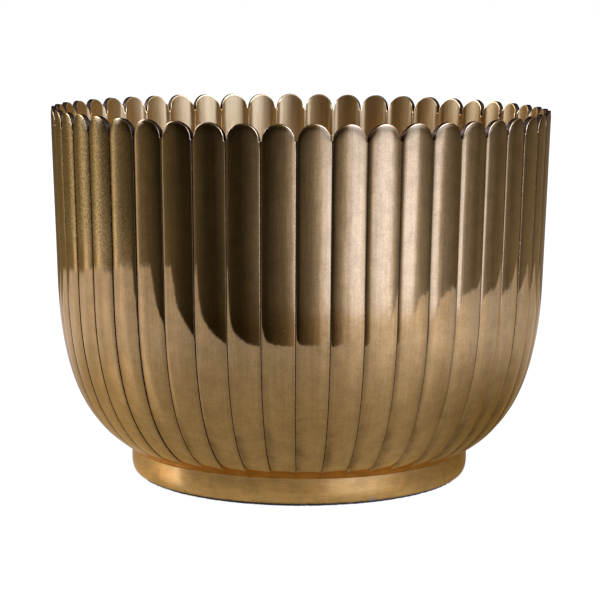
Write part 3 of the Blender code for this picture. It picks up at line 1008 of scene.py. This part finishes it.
# The table's light by distance from the axis: where the far one takes over from the near one, and where
# the sheen falls to its far share
FAR_ZONE = (0.12, 0.40)
SHEEN_ZONE = (0.14, 0.34)
SHEEN_FAR = 0.45
SHEEN_TINT = (0.27, 0.21, 0.135, 1.0)
SHEEN_ROUGHNESS = 0.10
TABLE_IOR = 1.45

# The table's paint, and how bright it looks to the camera
TABLE_PAINT = (0.8, 0.8, 0.8, 1.0)
TABLE_GLOW = 1.12
GLOW_SHARE = 0.78
WHITE = (1.0, 1.0, 1.0, 1.0)


def light_tint(strength, cool, peak):
    """A ramp colour: warm to cool light of the given brightness, as a share of the peak."""
    return (*[strength * mix(warm, cold, cool) / peak for warm, cold in zip(ROOM_WARM, ROOM_COOL)], 1.0)


def colour_ramp(tree, place, low, high, stops):
    """A colour by place, which runs from low to high, from a list of spots from 0 to 1 and colours."""
    ramp = tree.node("ShaderNodeValToRGB", Fac=tree.ramp(place, low, high, 0.0, 1.0, "LINEAR"))
    marks = ramp.color_ramp.elements
    marks.remove(marks[-1])
    for index, (spot, colour) in enumerate(stops):
        mark = marks[0] if index == 0 else marks.new(spot)
        mark.position = spot
        mark.color = colour
    return ramp.outputs["Color"]


def turn_ramp(tree, turn, stops, peak):
    """Colour by the turn round the bowl, from a list of degrees, brightness and coolness."""
    colours = [
        ((degrees + 180.0) / 360.0, light_tint(strength, cool, peak)) for degrees, strength, cool in stops
    ]
    return colour_ramp(tree, turn, -math.pi, math.pi, colours)


def stops_ramp(tree, place, stops, peak):
    """A value by place, which runs from -1 to 1, from a list of places, values up to the peak, and warmth."""
    colours = []
    for spot, gain, *warmth in stops:
        warm = sum(warmth)
        share = gain / peak
        colour = (share, share * (1.0 - FADE_GREEN * warm), share * (1.0 - FADE_BLUE * warm), 1.0)
        colours.append(((spot + 1.0) / 2.0, colour))
    return colour_ramp(tree, place, -1.0, 1.0, colours)


def mix_shaders(tree, share, first, second):
    """A share of the second shader over the first."""
    made = tree.node("ShaderNodeMixShader")
    for socket, value in zip(made.inputs, (share, first.outputs[0], second.outputs[0])):
        tree.feed(socket, value)
    return made


def make_room():
    """White to the camera, and the painted room to everything else."""
    world = bpy.data.worlds.new("studio room")
    bpy.context.scene.world = world
    world.use_nodes = True
    world.node_tree.nodes.clear()
    tree = Tree(world.node_tree)
    way = tree.node("ShaderNodeTexCoord").outputs["Generated"]
    parts = tree.node("ShaderNodeSeparateXYZ", Vector=way).outputs
    turn = tree.turn(parts)
    low = turn_ramp(tree, turn, ROOM_LOW, ROOM_PEAK)
    high = turn_ramp(tree, turn, ROOM_HIGH, ROOM_PEAK)
    low = tree.blend(1.0, low, stops_ramp(tree, parts[2], LOW_FADE, 1.0), "MULTIPLY")
    high = tree.blend(1.0, high, stops_ramp(tree, parts[2], HIGH_GAIN, HIGH_GAIN_PEAK), "MULTIPLY")
    even = 1.0 / HIGH_GAIN_PEAK
    low = tree.blend(1.0, low, (even, even, even, 1.0), "MULTIPLY")
    around = tree.blend(tree.ramp(parts[2], *LEVEL_ZONE), low, high)
    side = tree.node("ShaderNodeBackground", Color=around, Strength=ROOM_PEAK * HIGH_GAIN_PEAK)
    top = tree.node("ShaderNodeBackground", Color=WHITE, Strength=TOP_LIGHT)
    room = mix_shaders(tree, tree.ramp(parts[2], *TOP_ZONE), side, top)
    plain = tree.node("ShaderNodeBackground", Color=WHITE, Strength=1.0)
    to_camera = tree.node("ShaderNodeLightPath").outputs["Is Camera Ray"]
    output = tree.node("ShaderNodeOutputWorld")
    tree.feed(output.inputs["Surface"], mix_shaders(tree, to_camera, room, plain).outputs[0])


def make_floor():
    """A white floor to the camera, and to everything else a table that lets the room show past its edges."""
    half = FLOOR_HALF
    corners = [(-half, -half, 0), (half, -half, 0), (half, half, 0), (-half, half, 0)]
    mesh = bpy.data.meshes.new("studio_floor")
    mesh.from_pydata(corners, [], [(0, 1, 2, 3)])
    floor = bpy.data.objects.new("studio_floor", mesh)
    bpy.context.scene.collection.objects.link(floor)
    made = bpy.data.materials.new("pale table")
    made.use_nodes = True
    made.node_tree.nodes.clear()
    tree = Tree(made.node_tree)
    where = tree.node("ShaderNodeTexCoord").outputs["Object"]
    parts = tree.node("ShaderNodeSeparateXYZ", Vector=where).outputs
    away = tree.away(parts)
    turn = tree.turn(parts)

    # Where the table is, its edges drawn softly
    reach = stops_ramp(tree, tree.over(turn, math.pi), TABLE_REACH, 1.0)
    on_table = 1.0
    for inwards in (
        tree.minus(parts[1], TABLE_FRONT),
        tree.minus(TABLE_BACK, parts[1]),
        tree.minus(reach, away),
        tree.minus(TABLE_RIGHT, parts[0]),
    ):
        on_table = tree.times(on_table, tree.ramp(inwards, -TABLE_SOFT, TABLE_SOFT))

    # What the camera sees
    matt = tree.node("ShaderNodeBsdfDiffuse", Color=TABLE_PAINT)
    glow = tree.node("ShaderNodeEmission", Color=WHITE, Strength=TABLE_GLOW)
    seen = mix_shaders(tree, GLOW_SHARE, matt, glow)

    # What the bowl mirrors
    near = turn_ramp(tree, turn, TABLE_NEAR, TABLE_PEAK)
    far = turn_ramp(tree, turn, TABLE_FAR, TABLE_PEAK)
    light = tree.blend(tree.ramp(away, *FAR_ZONE), near, far)
    # The table glows with this painted light and painted shadow, though it is no lamp
    painted_table_light = tree.node("ShaderNodeEmission", Color=light, Strength=TABLE_PEAK)
    sheen = tree.node("ShaderNodeBsdfGlossy", Color=SHEEN_TINT, Roughness=SHEEN_ROUGHNESS)
    fresnel = tree.node("ShaderNodeFresnel", IOR=TABLE_IOR).outputs[0]
    sheen_share = tree.times(fresnel, tree.ramp(away, *SHEEN_ZONE, 1.0, SHEEN_FAR))
    table = mix_shaders(tree, sheen_share, painted_table_light, sheen)
    mirrored = mix_shaders(tree, on_table, tree.node("ShaderNodeBsdfTransparent"), table)

    to_camera = tree.node("ShaderNodeLightPath").outputs["Is Camera Ray"]
    output = tree.node("ShaderNodeOutputMaterial")
    tree.feed(output.inputs["Surface"], mix_shaders(tree, to_camera, mirrored, seen).outputs[0])
    made.cycles.emission_sampling = "NONE"
    mesh.materials.append(made)


# Camera: a long lens, a little above the bowl and almost straight in front of it

CAMERA_DISTANCE = 1.0899
CAMERA_AIM = 0.08686
CAMERA_RISE = math.radians(8.48)
CAMERA_TURN = math.radians(0.92)
CAMERA_ROLL = math.radians(0.303)
CAMERA_LENS = 128.9
SENSOR_WIDTH = 36.0
CLIP_NEAR = 0.05
CLIP_FAR = 60.0


def make_camera():
    data = bpy.data.cameras.new("photo camera")
    data.lens = CAMERA_LENS
    data.sensor_width = SENSOR_WIDTH
    data.clip_start = CLIP_NEAR
    data.clip_end = CLIP_FAR
    camera = bpy.data.objects.new("photo_camera", data)
    bpy.context.scene.collection.objects.link(camera)
    back = Vector((
        math.cos(CAMERA_RISE) * math.sin(CAMERA_TURN),
        -math.cos(CAMERA_RISE) * math.cos(CAMERA_TURN),
        math.sin(CAMERA_RISE),
    ))
    spot = Vector((0.0, 0.0, CAMERA_AIM)) + back * CAMERA_DISTANCE
    right = (-back).cross(Vector((0.0, 0.0, 1.0))).normalized()
    up = right.cross(-back)
    rolled_right = right * math.cos(CAMERA_ROLL) + up * math.sin(CAMERA_ROLL)
    rolled_up = up * math.cos(CAMERA_ROLL) - right * math.sin(CAMERA_ROLL)
    turn = Matrix((rolled_right, rolled_up, back)).transposed().to_4x4()
    camera.matrix_world = Matrix.Translation(spot) @ turn
    bpy.context.scene.camera = camera


# A weak soft box, which draws the shadow but isn't mirrored
LAMP_SIZE = 0.7
LAMP_POWER = 6.0
LAMP_PLACE = (0.9, -1.0, 1.1)
LAMP_AIM = Vector((0.0, 0.0, 0.08))


def make_lamp():
    data = bpy.data.lights.new("soft box", "AREA")
    data.shape = "RECTANGLE"
    data.size = LAMP_SIZE
    data.size_y = LAMP_SIZE
    data.energy = LAMP_POWER
    lamp = bpy.data.objects.new("soft_box", data)
    bpy.context.scene.collection.objects.link(lamp)
    lamp.location = LAMP_PLACE
    lamp.rotation_euler = (LAMP_AIM - lamp.location).to_track_quat("-Z", "Y").to_euler()
    lamp.visible_glossy = False


# Put together

def dress(piece, node, finishes):
    """Let a fine mesh take the place of a solid."""
    for finish in finishes:
        piece.data.materials.append(finish)
    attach(piece, "root")
    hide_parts(node)


dress(make_bowl(), "fluted_bowl", [bowl_brass(), edge_brass(), inner_brass()])
dress(make_foot(), "foot_ring", [foot_brass()])
dress(make_braze(), "braze_fillet", [filler_metal()])
dress(make_felt(), "felt_ring", [dark_felt()])
make_room()
make_floor()
make_lamp()
make_camera()
bpy.context.scene.view_settings.view_transform = "Standard"
